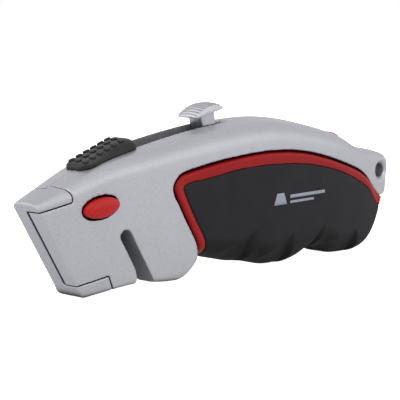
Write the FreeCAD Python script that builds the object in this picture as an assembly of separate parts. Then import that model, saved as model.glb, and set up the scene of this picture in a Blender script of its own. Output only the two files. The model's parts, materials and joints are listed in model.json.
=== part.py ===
import FreeCAD, Part
import math
import os

os.makedirs("parts", exist_ok=True)

# ---------------------------------------------------------------------------
# Auto-loading retractable utility knife, millimetres.
# Row frame: +Z up, nose towards -X, knife lying on its belly (z = 0).
# Blade frame: s runs from the nose towards the tail along the blade's travel,
# y is across the knife, n is square to the travel and points to the spine.
# ---------------------------------------------------------------------------

LIFT = 1.35                       # the drawn belly line sits this far under z = 0
BLADE_TILT = 12.0                 # the travel runs down towards the nose, degrees
BLADE_ORIGIN = (-74.7, 15.05)     # row x, z of the blade frame's origin
NOSE_SLANT = -0.305               # s of the nose front for each mm of n

BLADE_LENGTH = 61.0
BLADE_HEIGHT = 19.0
BLADE_THICK = 0.6
BLADE_SLANT = 13.5
BLADE_REST_S = 5.6                # tip of the retracted blade
BLADE_TRAVEL = 25.0

GATE_TRAVEL = 12.0
GATE_TOP_N = 12.3                 # gap lines above and below the blade channel
GATE_LOW_N = 13.3
GAP = 0.22                        # half of the gap between gate and shells
GATE_STRIP = 4.5                  # thickness of the strip across the nose front
BLADE_GAP = (-0.45, 0.55)         # blade exit slot in the nose, y range

SLOT_HALF = 3.5                   # spine slot, half width
SLOT_S = (37.0, 81.0)
STEM_HALF = 3.1
STEM_S = (69.2, 75.4)

CARRIAGE_S = (33.0, 76.6)         # blade carriage in the blade frame
CARRIAGE_N = (-6.4, 8.2)
CARRIAGE_HALF = 2.4
NECK_S = (66.6, 76.6)
NECK_TOP = 15.6

CAP_S = (66.0, 78.2)              # thumb slider's cap
CAP_HALF = 4.3
RACK_S = (39.0, 80.0)             # detent strip in the spine slot
RACK_THICK = 1.2

RAIL_S = (2.6, 37.0)              # gate rails
RAIL_Y = (1.0, 4.0)
RAIL_N = (8.8, 12.2)
LOW_RAIL_END = 16.0               # the lower rail ends in front of the notch
PIN_S = 21.0

BUTTON_S = 16.05
BUTTON_N = 8.15
BUTTON_AXES = (6.25, 3.3)
BUTTON_TURN = -4.0                # the oval lies a little flatter than the travel
BUTTON_FACE = -10.35

PAD_SLOPE = 14.9                  # slope of the spine under the pad, degrees

LINER_Y = (3.1, 10.6)             # each notch lining, y range before trimming
LINER_INSET = 0.55                # how far a lining stays behind the shell's face
NOTCH_TILT = 60.0                 # slope of the cord notch, degrees
NOTCH_HALF = 1.95
NOTCH_TOP = (-51.0, 16.8)         # centre of the notch's round end, row x, z

HOLE_POS = (78.7, 26.0)           # lanyard hole, row x, z
HOLE_R = 2.6

MAG_BLADES = 5
MAG_PITCH = 0.7
MAG_BLADE_POS = (2.8, 10.8)       # low front corner of the spare blades, row x, z

SCREWS = [(-50.5, 35.6), (-11.2, 14.3), (30.0, 41.4), (70.0, 29.6)]
SCREW_FACES = [8.9, 7.6, 11.2, 6.6]     # y of each head's outer face
LATCH_POS = (57.8, 38.85)
LATCH_TILT = 24.0                 # slope of the spine at the latch, degrees

# Stations of the silver hull: top x, z; bottom x, z; half width; top radius;
# bottom radius.
HULL = [
    (-84.5, 28.4, -66.2, -1.4, 5.0, 2.0, 1.0),
    (-76.4, 31.7, -58.6, 0.0, 7.1, 2.8, 1.2),
    (-67.0, 35.7, -51.0, 1.1, 8.8, 4.0, 1.5),
    (-54.0, 40.2, -40.5, 1.3, 10.5, 5.0, 1.9),
    (-40.0, 43.0, -30.0, 0.6, 11.6, 5.8, 2.3),
    (-24.0, 45.7, -17.0, 0.6, 12.2, 6.4, 2.6),
    (-8.0, 47.7, -3.0, 1.0, 12.5, 6.8, 2.6),
    (10.0, 48.8, 12.0, 3.0, 12.6, 7.0, 2.6),
    (27.0, 47.4, 27.5, 4.0, 12.3, 6.8, 2.6),
    (42.0, 44.3, 42.0, 4.0, 11.6, 6.2, 2.6),
    (53.0, 41.2, 53.0, 4.0, 10.6, 5.6, 2.6),
    (60.0, 38.0, 60.0, 5.0, 9.6, 4.6, 2.6),
    (66.5, 35.5, 66.5, 7.0, 8.4, 3.6, 2.6),
    (75.0, 33.9, 75.0, 9.0, 7.0, 3.0, 2.4),
    (84.5, 31.5, 84.5, 11.0, 5.9, 2.8, 2.2),
]

# Stations of the grip: x, bottom z, half width, bottom radius.
GRIP = [
    (-34.0, 12.0, 11.6, 5.0),
    (-26.0, 9.5, 11.9, 5.0),
    (-18.5, 7.0, 12.2, 6.0),
    (-9.0, 4.6, 12.5, 7.5),
    (-1.0, 2.6, 12.6, 8.0),
    (6.5, 1.7, 12.7, 8.3),
    (13.5, -0.1, 12.8, 8.3),
    (20.5, -0.8, 12.7, 8.3),
    (28.0, 0.0, 12.4, 8.3),
    (36.0, 2.2, 12.1, 8.0),
    (43.0, 2.3, 11.7, 7.8),
    (49.0, -0.3, 11.2, 7.6),
    (56.0, -1.35, 10.4, 7.2),
    (63.5, -1.3, 9.4, 6.2),
    (70.5, 1.3, 8.2, 4.6),
    (77.0, 9.6, 7.0, 3.8),
    (83.4, 18.0, 6.2, 3.2),
]

BEZEL_OUT = [
    (-22.6, 5.6), (-22.3, 10.0), (-25.9, 16.8), (-31.0, 25.4), (-32.6, 29.9),
    (-30.6, 33.2), (-26.5, 34.7), (-8.0, 37.2), (11.3, 38.2), (32.2, 36.3),
    (56.7, 29.8), (68.7, 24.6), (75.6, 18.4), (82.5, 15.2),
]
BEZEL_IN = [
    (-18.0, 5.0), (-18.4, 10.6), (-21.9, 17.0), (-25.9, 24.2), (-28.0, 28.4),
    (-28.2, 29.7), (-27.2, 30.4), (-21.4, 31.3), (-8.0, 32.9), (6.3, 33.7),
    (24.2, 33.1), (44.0, 29.9),
    (63.7, 23.2), (70.3, 19.3), (74.0, 15.6), (80.5, 13.0),
]


# --------------------------------------------------------------- basic helpers

def vec(x, y, z):
    return FreeCAD.Vector(x, y, z)


def line(a, b):
    return Part.LineSegment(vec(a[0], 0, a[1]), vec(b[0], 0, b[1])).toShape()


def arc(a, mid, b):
    return Part.Arc(vec(a[0], 0, a[1]), vec(mid[0], 0, mid[1]), vec(b[0], 0, b[1])).toShape()


def spline(points):
    curve = Part.BSplineCurve()
    curve.interpolate([vec(x, 0, z) for x, z in points])
    return curve.toShape()


def polygon(points):
    return [line(a, b) for a, b in zip(points, points[1:] + points[:1])]


def prism(edges, y0, y1):
    """Extrude a closed outline of the x-z plane from y0 to y1."""
    face = Part.Face(Part.Wire(edges))
    solid = face.extrude(vec(0, y1 - y0, 0))
    solid.translate(vec(0, y0, 0))
    return solid


def plate(points, y0, y1):
    return prism(polygon(points), y0, y1)


def block(x0, x1, y0, y1, z0, z1):
    return Part.makeBox(x1 - x0, y1 - y0, z1 - z0, vec(x0, y0, z0))


def ellipse_prism(cx, cz, a, b, tilt, y0, y1):
    curve = Part.Ellipse(vec(0, 0, 0), a, b).toShape()
    curve.rotate(vec(0, 0, 0), vec(1, 0, 0), 90)
    curve.rotate(vec(0, 0, 0), vec(0, 1, 0), -tilt)
    curve.translate(vec(cx, 0, cz))
    return prism([curve], y0, y1)


def cyl_y(x, z, r, y0, y1):
    return Part.makeCylinder(r, y1 - y0, vec(x, y0, z), vec(0, 1, 0))


def to_row(shape):
    """Move a shape from the blade frame to the row frame."""
    placed = shape.copy()
    placed.rotate(vec(0, 0, 0), vec(0, 1, 0), -BLADE_TILT)
    placed.translate(vec(BLADE_ORIGIN[0], 0, BLADE_ORIGIN[1]))
    return placed


def union(shapes):
    result = shapes[0]
    for shape in shapes[1:]:
        result = result.fuse(shape)
    return result.removeSplitter()


def coil(r_coil, r_wire, height, rings):
    """Small compression spring along +Z: closed rings joined by two struts."""
    pitch = height / (rings - 1)
    strut = 0.8 * r_wire
    parts = []
    for i in range(rings):
        parts.append(Part.makeTorus(r_coil, r_wire, vec(0, 0, i * pitch)))
    for i in range(rings - 1):
        angle = math.pi * i
        foot = vec(r_coil * math.cos(angle), r_coil * math.sin(angle), i * pitch)
        parts.append(Part.makeCylinder(strut, pitch, foot))
    result = parts[0]
    for part in parts[1:]:
        result = result.fuse(part)
    return result


# ----------------------------------------------------------------- outer forms

def hull_section(xt, zt, xb, zb, w, r_top, r_bot):
    length = math.hypot(xt - xb, zt - zb)
    ux = (xt - xb) / length
    uz = (zt - zb) / length
    crown = 0.07 * w

    def p(y, t):
        return vec(xb + ux * t, y, zb + uz * t)

    def rounded(y0, t0, y1, t1, cy, ct, ry, rt):
        k = math.sqrt(0.5)
        sy = 1 if cy > 0 else -1
        st = 1 if max(t0, t1) > ct else -1
        return Part.Arc(p(y0, t0), p(cy + sy * ry * k, ct + st * rt * k), p(y1, t1)).toShape()

    side = w - r_bot
    shoulder = w - r_top
    top = length - crown
    low = r_bot
    high = top - r_top
    return Part.Wire([
        Part.LineSegment(p(-side, 0), p(side, 0)).toShape(),
        rounded(side, 0, w, low, side, low, r_bot, r_bot),
        Part.LineSegment(p(w, low), p(w, high)).toShape(),
        rounded(w, high, shoulder, top, shoulder, high, r_top, r_top),
        Part.Arc(p(shoulder, top), p(0, length), p(-shoulder, top)).toShape(),
        rounded(-shoulder, top, -w, high, -shoulder, high, r_top, r_top),
        Part.LineSegment(p(-w, high), p(-w, low)).toShape(),
        rounded(-w, low, -side, 0, -side, low, r_bot, r_bot),
    ])


def grip_section(x, zb, w, r_bot):
    top = 44.0
    k = math.sqrt(0.5)
    side = w - r_bot
    low = zb + r_bot

    def p(y, z):
        return vec(x, y, z)

    return Part.Wire([
        Part.LineSegment(p(-side, zb), p(side, zb)).toShape(),
        Part.Arc(p(side, zb), p(side + r_bot * k, low - r_bot * k), p(w, low)).toShape(),
        Part.LineSegment(p(w, low), p(w, top)).toShape(),
        Part.LineSegment(p(w, top), p(-w, top)).toShape(),
        Part.LineSegment(p(-w, top), p(-w, low)).toShape(),
        Part.Arc(p(-w, low), p(-side - r_bot * k, low - r_bot * k), p(-side, zb)).toShape(),
    ])


def silver_outline():
    """Side view of the die-cast body and gate, run past the top and belly."""
    return [
        line((-66.5, 1.6), (-82.3, 27.6)),
        arc((-82.3, 27.6), (-82.5, 29.3), (-81.5, 30.5)),
        line((-81.5, 30.5), (-70.0, 60.0)),
        line((-70.0, 60.0), (72.0, 60.0)),
        line((72.0, 60.0), (76.5, 33.5)),
        arc((76.5, 33.5), (81.3, 31.2), (82.5, 26.6)),
        line((82.5, 26.6), (81.6, 19.2)),
        arc((81.6, 19.2), (80.8, 17.6), (79.2, 17.2)),
        line((79.2, 17.2), (20.0, 1.2)),
        line((20.0, 1.2), (-19.0, 12.6)),
        arc((-19.0, 12.6), (-24.5, 4.4), (-31.8, 0.0)),
        line((-31.8, 0.0), (-31.8, -4.0)),
        line((-31.8, -4.0), (-63.6, -4.0)),
        line((-63.6, -4.0), (-63.6, -1.0)),
        arc((-63.6, -1.0), (-65.5, -0.1), (-66.5, 1.6)),
    ]


def grip_region(edge_points, y0, y1, grow=0.0):
    """Side-view region under one edge of the red frame; grow widens it up and forwards."""
    points = [(x - grow, z + grow) for x, z in edge_points]
    edge = spline(points)
    first = points[0]
    last = points[-1]
    floor = -6.0
    return prism([edge, line(last, (last[0], floor)), line((last[0], floor), (first[0], floor)),
                  line((first[0], floor), first)], y0, y1)


def plan_prism(half_widths, z0, z1):
    """Prism along Z whose half width changes with x."""
    right = [(x, w) for x, w in half_widths]
    left = [(x, -w) for x, w in reversed(half_widths)]
    points = [vec(x, y, z0) for x, y in right + left]
    face = Part.Face(Part.makePolygon(points + points[:1]))
    return face.extrude(vec(0, 0, z1 - z0))


def tub_form(grow):
    """Inner core of the handle that both grips close round."""
    side = prism([
        spline([(-16.5 - grow, 9.6 - grow), (-4.0, 7.0 - grow), (13.5, 4.6 - grow),
                (31.0, 6.8 - grow), (50.0, 4.2 - grow), (62.0, 4.9 - grow),
                (69.5 + grow, 10.6 - grow)]),
        line((69.5 + grow, 10.6 - grow), (84.0, 26.0)),
        line((84.0, 26.0), (84.0, 50.0)),
        line((84.0, 50.0), (-42.0, 50.0)),
        line((-42.0, 50.0), (-38.0, 11.4 - grow)),
        line((-38.0, 11.4 - grow), (-16.5 - grow, 9.6 - grow)),
    ], -20, 20)
    plan = plan_prism([(-50.0, 8.3 + grow), (42.0, 8.3 + grow), (60.0, 6.6 + grow),
                       (72.0, 4.6 + grow), (86.0, 3.6 + grow)], -5, 60)
    return side.common(plan)


def notch_form(half, y0, y1, extra=0.0):
    """Slanted U-shaped notch, open at the belly and flared at its mouth."""
    c = math.cos(math.radians(NOTCH_TILT))
    k = math.sin(math.radians(NOTCH_TILT))
    cx, cz = NOTCH_TOP
    reach = 22.0

    def p(along, across):
        return cx + along * c + across * k, cz - along * k + across * c

    body = prism([
        line(p(reach, -half), p(0, -half)),
        arc(p(0, -half), p(-half, 0), p(0, half)),
        line(p(0, half), p(reach, half)),
        line(p(reach, half), p(reach, -half)),
    ], y0, y1)
    mouth = plate([(-47.2 - extra, 6.6), (-46.4 - extra, 3.6), (-46.6 - extra, -4.0),
                   (-41.0 + extra, -4.0), (-41.2 + extra, 3.6), (-42.6, 6.0)], y0, y1)
    return body.fuse(mouth)


# --------------------------------------------------------------------- modules

def gate_region(clear):
    """Space of the nose gate in the blade frame; clear > 0 grows it."""
    edge = GATE_TOP_N + GAP - clear
    low_edge = GATE_LOW_N + GAP - clear
    near_rear = 7.0 + clear
    far_rear = 4.9 + clear

    def top_leg(rear, y0, y1):
        return prism([
            line((-20, edge), (rear, edge)),
            line((rear, edge), (rear, edge + 1.4)),
            arc((rear, edge + 1.4), (rear - 0.3, edge + 3.1), (rear - 1.2, edge + 4.6)),
            line((rear - 1.2, edge + 4.6), (rear - 3.6, 24)),
            line((rear - 3.6, 24), (-20, 24)),
            line((-20, 24), (-20, edge)),
        ], y0, y1)

    near = top_leg(near_rear, -20, clear)
    far = top_leg(far_rear, 0, 20)
    bottom = plate([(-20, -low_edge), (15.6 + clear, -low_edge), (17.0 + clear, -22), (-20, -22)],
                   -20, 20)
    strip_y = BLADE_GAP[1] - clear
    depth = GATE_STRIP + clear
    strip = plate([(-20, 14), (NOSE_SLANT * 14 + depth, 14), (NOSE_SLANT * -16 + depth, -16),
                   (-20, -16)], strip_y, 20)
    return union([near, far, bottom, strip])


def blade_blank(x, z, y0, y1):
    """Trapezoid utility blade with its two spine notches, long edge down."""
    top = z + BLADE_HEIGHT
    right = x + BLADE_LENGTH
    blank = plate([(x, z), (right, z), (right - BLADE_SLANT, top), (x + BLADE_SLANT, top)], y0, y1)
    middle = x + BLADE_LENGTH / 2
    for offset in (-4.6, 4.6):
        blank = blank.cut(block(middle + offset - 1.3, middle + offset + 1.3, y0 - 1, y1 + 1,
                                top - 2.6, top + 1))
    bevel = 0.24
    for side, y in ((1, y1), (-1, y0)):
        wedge = Part.Face(Part.makePolygon([
            vec(x - 1, y + side * 0.01, z - 0.01), vec(x - 1, y - side * bevel, z - 0.01),
            vec(x - 1, y + side * 0.01, z + 1.9), vec(x - 1, y + side * 0.01, z - 0.01),
        ])).extrude(vec(BLADE_LENGTH + 2, 0, 0))
        blank = blank.cut(wedge)
    return blank


def make_blade():
    half = BLADE_THICK / 2
    return to_row(blade_blank(BLADE_REST_S, -BLADE_HEIGHT / 2, -half, half))


def make_carriage():
    body = block(CARRIAGE_S[0], CARRIAGE_S[1], -CARRIAGE_HALF, CARRIAGE_HALF,
                 CARRIAGE_N[0], CARRIAGE_N[1])
    neck = block(NECK_S[0], NECK_S[1], -CARRIAGE_HALF, CARRIAGE_HALF, CARRIAGE_N[1] - 1, NECK_TOP)
    body = body.fuse(neck)
    body = body.cut(plate([(CARRIAGE_S[0] - 1, -7), (45, -7), (36, 9), (CARRIAGE_S[0] - 1, 9)],
                          -CARRIAGE_HALF - 1, -0.9))
    blade_room = blade_blank(BLADE_REST_S, -BLADE_HEIGHT / 2, -0.31, 0.31)
    body = body.cut(blade_room)
    socket = block(STEM_S[0] - 0.1, STEM_S[1] + 0.1, -1.75, 1.75, 9.2, NECK_TOP + 1)
    body = body.cut(socket)
    for s in (50.0, 58.0):
        body = body.cut(cyl_y(s, 0, 2.2, 1.3, 4))
    return to_row(body.removeSplitter())


def make_slider():
    """Ribbed thumb piece with its stem; it presses into the carriage."""
    cap = prism([
        line((CAP_S[0], 21.2), (CAP_S[0] + 0.1, 21.7)),
        arc((CAP_S[0] + 0.1, 21.7), (73.2, 24.2), (CAP_S[1] - 0.1, 22.5)),
        line((CAP_S[1] - 0.1, 22.5), (CAP_S[1], 21.9)),
        line((CAP_S[1], 21.9), (CAP_S[0], 21.2)),
    ], -CAP_HALF, CAP_HALF)
    for i in range(8):
        s = CAP_S[0] + 1.5 + i * 1.4
        cap = cap.cut(cyl_y(s, 24.2 - 0.052 * (s - 73.2) ** 2 + 0.25, 0.5, -6, 6))
    stem = block(STEM_S[0], STEM_S[1], -STEM_HALF, STEM_HALF, 16.6, 22.3)
    tongue = block(STEM_S[0] + 0.05, STEM_S[1] - 0.05, -1.6, 1.6, 11.8, 17.0)
    return to_row(union([cap, stem, tongue]))


def make_slider_spring():
    spring = coil(1.1, 0.22, 2.0, 4)
    spring.translate(vec((STEM_S[0] + STEM_S[1]) / 2, 0, 9.5))
    return to_row(spring)


def rack_block():
    return block(RACK_S[0], RACK_S[1], SLOT_HALF, SLOT_HALF + RACK_THICK, 14.0, 30.0)


def make_rack(hull):
    """Toothed detent strip that lines the far wall of the spine slot up to the spine."""
    strip = rack_block()
    pitch = 2.0
    for i in range(19):
        s = RACK_S[0] + 2.0 + i * pitch
        strip = strip.cut(Part.makeCylinder(0.55, 17.0, vec(s, SLOT_HALF - 0.1, 13.7), vec(0, 0, 1)))
    return largest(to_row(strip).common(hull))


def make_rails():
    low, high = RAIL_N
    top = block(NOSE_SLANT * 10.5 + RAIL_S[0], RAIL_S[1], RAIL_Y[0], RAIL_Y[1], low, high)
    slot_n = (low + high) / 2
    top = top.cut(block(PIN_S - 0.9, PIN_S + GATE_TRAVEL + 0.9, 0, 5, slot_n - 0.9, slot_n + 0.9))
    bottom = block(NOSE_SLANT * -10.5 + RAIL_S[0], LOW_RAIL_END, RAIL_Y[0], RAIL_Y[1], -high, -low)
    return to_row(Part.makeCompound([top, bottom]))


def make_stop_pin():
    return to_row(cyl_y(PIN_S, (RAIL_N[0] + RAIL_N[1]) / 2, 0.8, -1.9, 5.6))


def make_button():
    body = ellipse_prism(BUTTON_S, BUTTON_N, BUTTON_AXES[0], BUTTON_AXES[1], BUTTON_TURN, -14, -5.4)
    ball_r = 24.0
    flare = math.radians(9.0)
    ball = Part.makeSphere(ball_r, vec(BUTTON_S + ball_r * math.sin(flare),
                                       BUTTON_FACE + ball_r * math.cos(flare), BUTTON_N))
    body = body.common(ball)
    flange = ellipse_prism(BUTTON_S, BUTTON_N, BUTTON_AXES[0] + 0.9, BUTTON_AXES[1] + 0.55,
                           BUTTON_TURN, -6.0, -5.1)
    flange = flange.common(block(0, 40, -8, 0, 4.2, GATE_TOP_N - 0.5))
    return to_row(body.fuse(flange).removeSplitter())


def make_button_spring():
    spring = coil(2.0, 0.24, 1.58, 3)
    spring.rotate(vec(0, 0, 0), vec(1, 0, 0), -90)
    spring.translate(vec(BUTTON_S, -4.83, BUTTON_N))
    return to_row(spring)


def make_lock_plate():
    plate_form = block(6.6, 25.2, -2.98, -2.72, 4.2, 11.8)
    return to_row(plate_form)


def make_tray():
    x, z = MAG_BLADE_POS
    grow = 0.5
    wall = 0.9

    def frame(g, y0, y1):
        return plate([(x - g * 1.6, z - g), (x + BLADE_LENGTH + g * 1.6, z - g),
                      (x + BLADE_LENGTH - BLADE_SLANT + g * 0.4, z + BLADE_HEIGHT + g),
                      (x + BLADE_SLANT - g * 0.4, z + BLADE_HEIGHT + g)], y0, y1)

    tray = frame(grow + wall, -4.4, 2.2).cut(frame(grow, -3.6, 3.0))
    lips = [block(x + 19, x + 25, 2.2, 2.9, z + BLADE_HEIGHT - 2.6, z + BLADE_HEIGHT + grow + wall),
            block(x + 36, x + 42, 2.2, 2.9, z + BLADE_HEIGHT - 2.6, z + BLADE_HEIGHT + grow + wall),
            block(x + 26, x + 35, 2.2, 2.9, z - grow - wall, z + 2.4)]
    return union([tray] + lips)


def make_spare_blades():
    x, z = MAG_BLADE_POS
    first = -1.6
    stack = []
    for i in range(MAG_BLADES):
        y = first + i * MAG_PITCH
        stack.append(blade_blank(x, z, y, y + BLADE_THICK))
    return Part.makeCompound(stack)


def make_follower():
    x, z = MAG_BLADE_POS
    body = plate([(x + 14, z + 1.5), (x + BLADE_LENGTH - 14, z + 1.5),
                  (x + BLADE_LENGTH - 20, z + 15.5), (x + 20, z + 15.5)], -2.4, -1.75)
    for offset in (-9.0, 9.0):
        body = body.cut(cyl_y(x + BLADE_LENGTH / 2 + offset, z + 8.5, 2.4, -3, 0))
    return body


def make_follower_spring():
    """Bowed leaf between the tray's floor and the follower."""
    x, z = MAG_BLADE_POS
    middle = x + BLADE_LENGTH / 2
    half = 15.0

    z0 = z + 6.0
    thick = 0.3
    ends = -3.55
    crest = -2.75

    def bow(offset):
        return Part.Arc(vec(middle - half, ends + offset, z0), vec(middle, crest + offset, z0),
                        vec(middle + half, ends + offset, z0)).toShape()

    def end(x):
        return Part.LineSegment(vec(x, ends, z0), vec(x, ends + thick, z0)).toShape()

    edges = [bow(0.0), bow(thick), end(middle - half), end(middle + half)]
    face = Part.Face(Part.Wire(Part.sortEdges(edges)[0]))
    return face.extrude(vec(0, 0, 5.0))


def make_pad(hull):
    """Thumb pad on the spine in front of the slot, with raised dots."""
    profile = prism([
        line((-63.5, 33.0), (-63.7, 37.8)),
        arc((-63.7, 37.8), (-63.3, 38.6), (-62.4, 39.0)),
        spline([(-62.4, 39.0), (-60.5, 39.7), (-54.0, 42.2), (-47.5, 44.6), (-44.6, 45.3),
                (-42.4, 45.1)]),
        arc((-42.4, 45.1), (-41.7, 44.6), (-41.4, 43.9)),
        line((-41.4, 43.9), (-41.4, 38.0)),
        line((-41.4, 38.0), (-63.5, 33.0)),
    ], -10, 10)
    plan = plan_prism([(-63.9, 2.2), (-63.1, 3.5), (-61.6, 4.5), (-58.0, 5.1), (-48.0, 5.3),
                       (-42.6, 5.0), (-41.2, 4.2)], 30, 50)
    slope = math.radians(PAD_SLOPE)
    trapezoid = Part.Face(Part.makePolygon([vec(-72, y, 34.3 + z) for y, z in (
        (-5.5, -3.0), (-5.3, 0.0), (-4.1, 3.6), (-3.7, 9.0), (3.7, 9.0), (4.1, 3.6), (5.3, 0.0),
        (5.5, -3.0), (-5.5, -3.0))]))
    drafted = trapezoid.extrude(vec(40.0 * math.cos(slope), 0, 40.0 * math.sin(slope)))
    body = profile.common(plan).common(drafted).cut(hull)
    solids = sorted(body.Solids, key=lambda item: item.Volume)
    body = solids[-1]
    dots = []
    for row in range(6):
        along = row / 5.0
        x = -60.9 + along * 14.5
        z = 38.6 + along * 5.4
        for y in (-3.0, 0.0, 3.0):
            ball = Part.makeSphere(1.3, vec(x, y, z))
            dots.append(ball.cut(hull))
    return union([body] + dots)


def make_screws():
    """Four cross-head screws put in from the right."""
    parts = []
    for (x, z), face in zip(SCREWS, SCREW_FACES):
        shank = cyl_y(x, z, 1.3, -6.4, face - 1.0)
        if (x, z) == SCREWS[3]:
            shank = cyl_y(x, z, 1.3, -4.6, face - 1.0)
        head = cyl_y(x, z, 2.4, face - 1.8, face)
        head = head.cut(block(x - 1.6, x + 1.6, face - 0.9, face + 1, z - 0.35, z + 0.35))
        head = head.cut(block(x - 0.35, x + 0.35, face - 0.9, face + 1, z - 1.6, z + 1.6))
        parts.append(head.fuse(shank).removeSplitter())
    return Part.makeCompound(parts)


def latch_frame(shape):
    placed = shape.copy()
    placed.rotate(vec(0, 0, 0), vec(0, 1, 0), LATCH_TILT)
    placed.translate(vec(LATCH_POS[0], 0, LATCH_POS[1]))
    return placed


def oval_z(a, b, z0, z1):
    curve = Part.Ellipse(vec(0, 0, 0), a, b).toShape()
    solid = Part.Face(Part.Wire(curve)).extrude(vec(0, 0, z1 - z0))
    solid.translate(vec(0, 0, z0))
    return solid


def make_latch():
    body = oval_z(4.2, 2.4, -3.4, 3.0)
    dome = Part.makeSphere(11.0, vec(0, 0, -10.0))
    body = body.common(dome)
    foot = oval_z(4.9, 3.0, -3.4, -2.6)
    return latch_frame(body.fuse(foot).removeSplitter())


def make_latch_spring():
    spring = coil(1.6, 0.22, 2.25, 4)
    spring.translate(vec(0, 0, -5.95))
    return latch_frame(spring)


# ----------------------------------------------------------- shells and covers

def mechanism_space():
    """Everything cut from inside the shells, in the row frame."""
    clear = 0.35
    channel = block(5.2, 80.0, -CARRIAGE_HALF - clear, CARRIAGE_HALF + clear, -9.9, 8.2 + clear)
    spine_room = block(5.2, 72.0, -0.65, 0.65, 8.0, 9.95)
    blade_front = block(-10, 6, BLADE_GAP[0], BLADE_GAP[1] - 0.25, -GATE_LOW_N - 1,
                        GATE_TOP_N + 1)
    neck = block(NECK_S[0] - BLADE_TRAVEL - 1, 80.0, -CARRIAGE_HALF - clear, CARRIAGE_HALF + clear,
                 8, 16.2)
    slot = block(SLOT_S[0], SLOT_S[1] - 3, -SLOT_HALF, SLOT_HALF, 15.8, 30)
    slot = slot.fuse(plate([(SLOT_S[1] - 3.1, 15.8), (SLOT_S[1] - 1.5, 15.8), (SLOT_S[1], 17.2),
                            (SLOT_S[1], 30), (SLOT_S[1] - 3.1, 30)], -SLOT_HALF, SLOT_HALF))
    rack = rack_block().fuse(block(RACK_S[0], RACK_S[1], 0, SLOT_HALF, 14.0, 17.0))
    rails = block(-8, RAIL_S[1] + 0.6, RAIL_Y[0] - 0.2, RAIL_Y[1] + 0.2, RAIL_N[0] - 0.2, RAIL_N[1] + 0.2)
    rails = rails.fuse(block(-8, LOW_RAIL_END + 0.6, RAIL_Y[0] - 0.2, RAIL_Y[1] + 0.2,
                             -RAIL_N[1] - 0.2, -RAIL_N[0] + 0.2))
    pin = cyl_y(PIN_S, (RAIL_N[0] + RAIL_N[1]) / 2, 0.8, -1.9, 5.6)
    oval = ellipse_prism(BUTTON_S, BUTTON_N, BUTTON_AXES[0] + 0.3, BUTTON_AXES[1] + 0.3,
                         BUTTON_TURN, -14, -5.4)
    flange = block(5.6, 26.0, -6.3, -2.7, 3.6, GATE_TOP_N - 0.2)
    nose = union([channel, spine_room, blade_front, neck, slot, rack, rails, pin, oval, flange])
    space = to_row(nose)

    x, z = MAG_BLADE_POS
    g = 1.5
    magazine = plate([(x - g * 1.6, z - g), (x + BLADE_LENGTH + g * 1.6, z - g),
                      (x + BLADE_LENGTH - BLADE_SLANT + g, z + BLADE_HEIGHT + g),
                      (x + BLADE_SLANT - g, z + BLADE_HEIGHT + g)], -4.5, 12.0)
    space = space.fuse(magazine)
    for low, high in ((-5.6, -2.75), (2.75, 5.6)):
        space = space.fuse(to_row(block(39.0, 62.0, low, high, -9.9, 7.6)))
    return space


def latch_space():
    room = oval_z(4.5, 2.7, -3.4, 6)
    room = room.fuse(oval_z(5.2, 3.3, -4.8, -2.45))
    room = room.fuse(oval_z(2.4, 2.4, -6.2, -2.45))
    return latch_frame(room)


def screw_space():
    parts = []
    for (x, z), face in zip(SCREWS, SCREW_FACES):
        parts.append(cyl_y(x, z, 1.35, -6.8 if x < 60 else -4.8, 14))
        parts.append(cyl_y(x, z, 2.6, face - 1.8, 16))
    return parts


def lanyard_space():
    x, z = HOLE_POS
    hole = cyl_y(x, z, HOLE_R, -12, 12)
    depth = 0.9
    half = 6.35
    cone_l = Part.makeCone(HOLE_R + depth + 1.2, HOLE_R, depth + 1.2, vec(x, -half - 1.2, z), vec(0, 1, 0))
    cone_r = Part.makeCone(HOLE_R + depth + 1.2, HOLE_R, depth + 1.2, vec(x, half + 1.2, z), vec(0, -1, 0))
    return [hole, cone_l, cone_r]


def make_hull():
    loft = Part.makeLoft([hull_section(*row) for row in HULL], True, False)
    return loft.common(prism(silver_outline(), -20, 20))


def make_grip_form():
    return Part.makeLoft([grip_section(*row) for row in GRIP], True, False)


def make_shells(hull):
    recess = grip_region(BEZEL_OUT, -20, 20, 0.15).cut(tub_form(0.0))
    body = hull.cut(recess)
    body = body.cut(to_row(gate_region(GAP)))
    body = body.cut(mechanism_space())
    body = body.cut(notch_form(NOTCH_HALF, -20, 20))
    body = body.cut(notch_form(NOTCH_HALF + 0.9, -20, 20, 0.9).common(liner_zone(hull, -0.05)))
    body = body.cut(latch_space())
    for tool in screw_space() + lanyard_space():
        body = body.cut(tool)
    left = body.common(block(-100, 100, -20, 0, -10, 70))
    right = body.common(block(-100, 100, 0, 20, -10, 70))
    right = right.cut(to_row(block(-8, 6, -1, BLADE_GAP[1], -GATE_LOW_N, GATE_TOP_N)))
    return left, right


def largest(shape):
    return sorted(shape.Solids, key=lambda item: item.Volume)[-1]


def make_gate(hull):
    region = to_row(gate_region(0.0))
    gate = hull.common(region)
    gate = gate.cut(to_row(block(NOSE_SLANT * 10.5 + RAIL_S[0], 20, RAIL_Y[0], RAIL_Y[1],
                                 RAIL_N[0], RAIL_N[1])))
    gate = gate.cut(to_row(block(NOSE_SLANT * -10.5 + RAIL_S[0], 20, RAIL_Y[0], RAIL_Y[1],
                                 -RAIL_N[1], -RAIL_N[0])))
    return largest(gate)


def liner_zone(hull, gap):
    """Inside of the hull, narrowed on both sides so that linings stay behind its face."""
    inset = LINER_INSET + gap
    return hull.translated(vec(0, inset, 0)).common(hull.translated(vec(0, -inset, 0)))


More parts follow.
